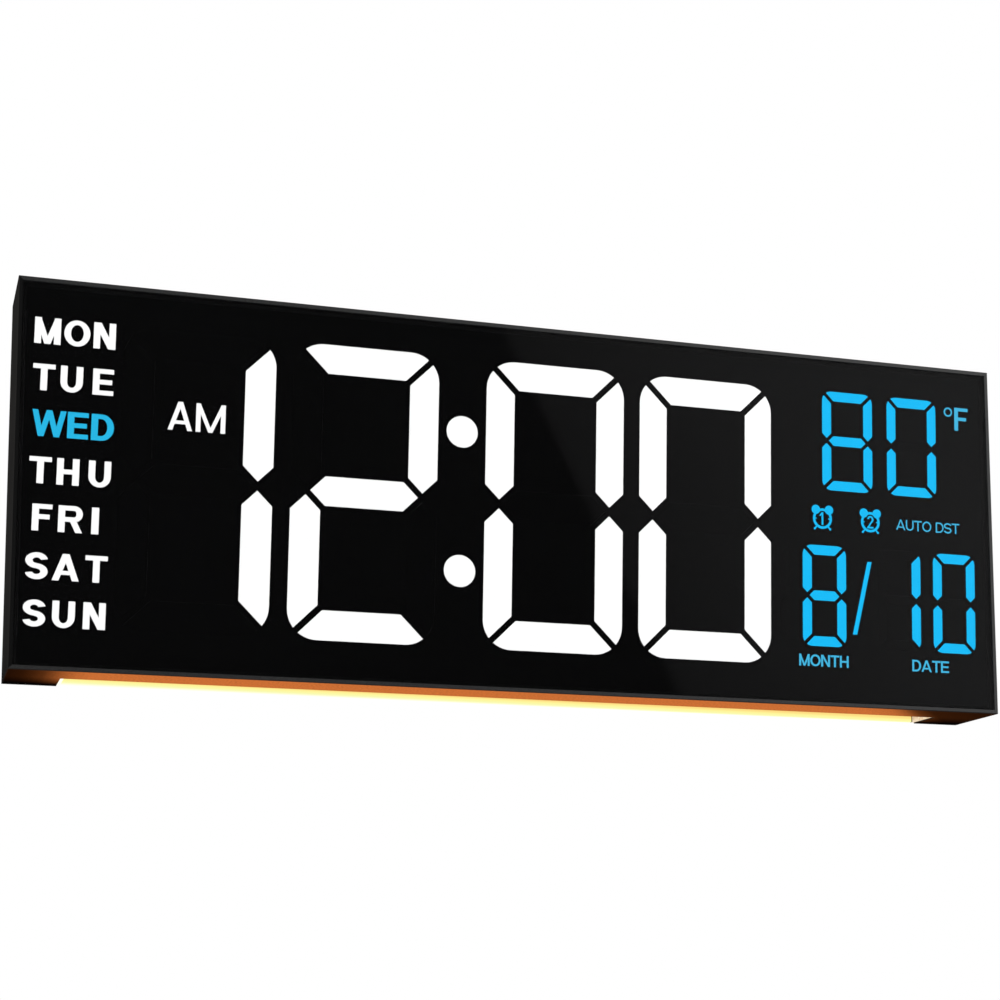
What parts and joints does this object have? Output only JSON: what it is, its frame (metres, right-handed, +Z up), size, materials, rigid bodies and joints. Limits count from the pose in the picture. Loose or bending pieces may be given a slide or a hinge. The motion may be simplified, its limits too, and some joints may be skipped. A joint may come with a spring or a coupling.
{
  "type": "dementia day clock",
  "caption": "Wide wall and table clock whose dark front shows the time, weekday, date and temperature, with a night light under its back edge and fold-out legs.",
  "frame": {"origin": "middle of the footprint, on the surface that the clock stands on", "axes": "+Z up, -Y out of the display towards the reader, +X to the reader's right"},
  "size_m": [0.42, 0.0376, 0.1535],
  "materials": {
    "case_plastic": "fine moulded texture, black",
    "leg_plastic": "fine moulded texture, black",
    "panel_acrylic": "smoked and polished",
    "adhesive_tape": "black foam tape",
    "segment_lens": "milky white, lit from behind",
    "blue_lens": "milky with a blue light behind it",
    "legend_film": "black print with clear words and icons",
    "reflector_plastic": "white",
    "circuit_board": "green solder mask",
    "lamp_resin": "clear resin over a pale yellow layer",
    "chip_resin": "black moulding compound",
    "screw_steel": "blackened",
    "pin_steel": "ground",
    "milky_plastic": "milky, lit warm from above",
    "button_plastic": "fine texture, dark grey",
    "switch_plastic": "black",
    "holder_plastic": "black",
    "cell_steel": "satin",
    "jack_plastic": "black",
    "contact_brass": "satin",
    "capacitor_can": "satin",
    "sensor_resin": "black bead",
    "plug_plastic": "off-white",
    "wire_sleeve": "grey sleeve"
  },
  "bodies": {
    "root": {"board_plugs": "plug_plastic", "board_screws": "screw_steel", "buzzer": "chip_resin", "case_screws": "screw_steel", "coin_cell": "cell_steel", "coin_cell_holder": "holder_plastic", "colon_dots": "segment_lens", "control_board": "circuit_board", "crystal": "cell_steel", "date_segments": "blue_lens", "date_slash": "blue_lens", "dc_jack": "jack_plastic", "dc_jack_nut": "contact_brass", "dc_jack_pin": "contact_brass", "dc_jack_terminals": "contact_brass", "display_board": "circuit_board", "display_leds": "lamp_resin", "display_plug": "plug_plastic", "display_ribbon": "wire_sleeve", "driver_chips": "chip_resin", "filter_capacitor": "capacitor_can", "front_frame": "case_plastic", "front_panel": "panel_acrylic", "hour_segments": "segment_lens", "hour_tens_segments": "segment_lens", "left_leg_pin": "pin_steel", "legend_film": "legend_film", "microcontroller": "chip_resin", "minute_segments": "segment_lens", "minute_tens_segments": "segment_lens", "month_segments": "blue_lens", "night_light_board": "circuit_board", "night_light_diffuser": "milky_plastic", "night_light_leds": "lamp_resin", "night_light_wires": "wire_sleeve", "panel_tape": "adhesive_tape", "power_wires": "wire_sleeve", "rear_housing": "case_plastic", "reflector": "reflector_plastic", "right_leg_pin": "pin_steel", "tact_switches": "switch_plastic", "temperature_segments": "blue_lens", "temperature_sensor": "sensor_resin", "voltage_regulator": "chip_resin"},
    "left_leg": {"left_leg": "leg_plastic"},
    "right_leg": {"right_leg": "leg_plastic"},
    "battery_cap": {"battery_cap": "leg_plastic"},
    "mode_button": {"mode_button": "button_plastic", "mode_plunger": "switch_plastic"},
    "down_button": {"down_button": "button_plastic", "down_plunger": "switch_plastic"},
    "up_button": {"up_button": "button_plastic", "up_plunger": "switch_plastic"},
    "alarm_button": {"alarm_button": "button_plastic", "alarm_plunger": "switch_plastic"},
    "light_button": {"light_button": "button_plastic", "light_plunger": "switch_plastic"}
  },
  "joints": [
    {"name": "left_leg_fold", "type": "hinge", "parent": "root", "child": "left_leg", "pos_m": [-0.1995, 0.01675, 0.118], "axis": [1, 0, 0], "range_deg": [0, 25]},
    {"name": "right_leg_fold", "type": "hinge", "parent": "root", "child": "right_leg", "pos_m": [0.1995, 0.01675, 0.118], "axis": [1, 0, 0], "range_deg": [0, 25]},
    {"name": "battery_cap_turn", "type": "hinge", "parent": "root", "child": "battery_cap", "pos_m": [0.04, 0.0178, 0.08], "axis": [0, 1, 0], "range_deg": [0, 40]},
    {"name": "mode_press", "type": "slide", "parent": "root", "child": "mode_button", "axis": [0, -1, 0], "range_m": [0, 0.0006], "stiffness_N_per_m": 1500},
    {"name": "down_press", "type": "slide", "parent": "root", "child": "down_button", "axis": [0, -1, 0], "range_m": [0, 0.0006], "stiffness_N_per_m": 1500},
    {"name": "up_press", "type": "slide", "parent": "root", "child": "up_button", "axis": [0, -1, 0], "range_m": [0, 0.0006], "stiffness_N_per_m": 1500},
    {"name": "alarm_press", "type": "slide", "parent": "root", "child": "alarm_button", "axis": [0, -1, 0], "range_m": [0, 0.0006], "stiffness_N_per_m": 1500},
    {"name": "light_press", "type": "slide", "parent": "root", "child": "light_button", "axis": [0, -1, 0], "range_m": [0, 0.0006], "stiffness_N_per_m": 1500}
  ]
}
